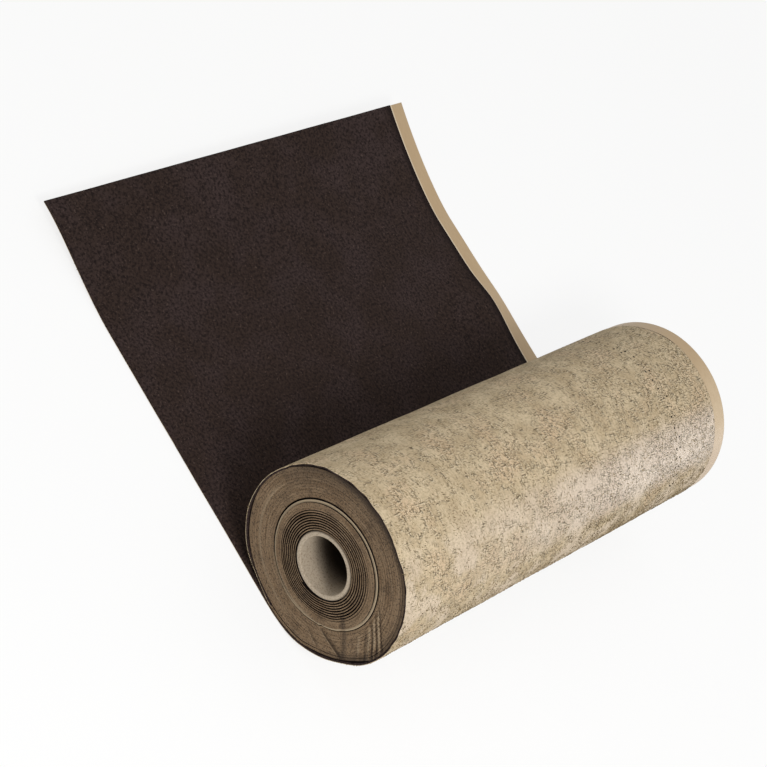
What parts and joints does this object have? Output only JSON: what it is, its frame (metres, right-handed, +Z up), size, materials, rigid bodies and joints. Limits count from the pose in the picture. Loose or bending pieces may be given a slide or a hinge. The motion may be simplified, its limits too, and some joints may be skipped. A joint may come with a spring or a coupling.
{
  "type": "roll of roofing felt",
  "caption": "Roll of roofing felt on a cardboard tube, fleece side out, with its dark tail unrolled flat on the floor and a tan strip along one edge.",
  "frame": {"origin": "on the floor, under the middle of the box round the roll and its tail", "axes": "+Y along the roll's axis from the open end to the end with the strip, +Z up, the tail runs towards -X"},
  "size_m": [0.7368, 0.704, 0.2632],
  "materials": {
    "roofing_felt": "beige fleece outside, near-black matt bitumen inside, brown cut ends",
    "core_cardboard": "plain grey-tan wound cardboard",
    "strip_paper": "plain tan satin paper"
  },
  "bodies": {
    "root": {"felt": "roofing_felt", "core_tube": "core_cardboard", "edge_strip": "strip_paper"}
  },
  "joints": []
}
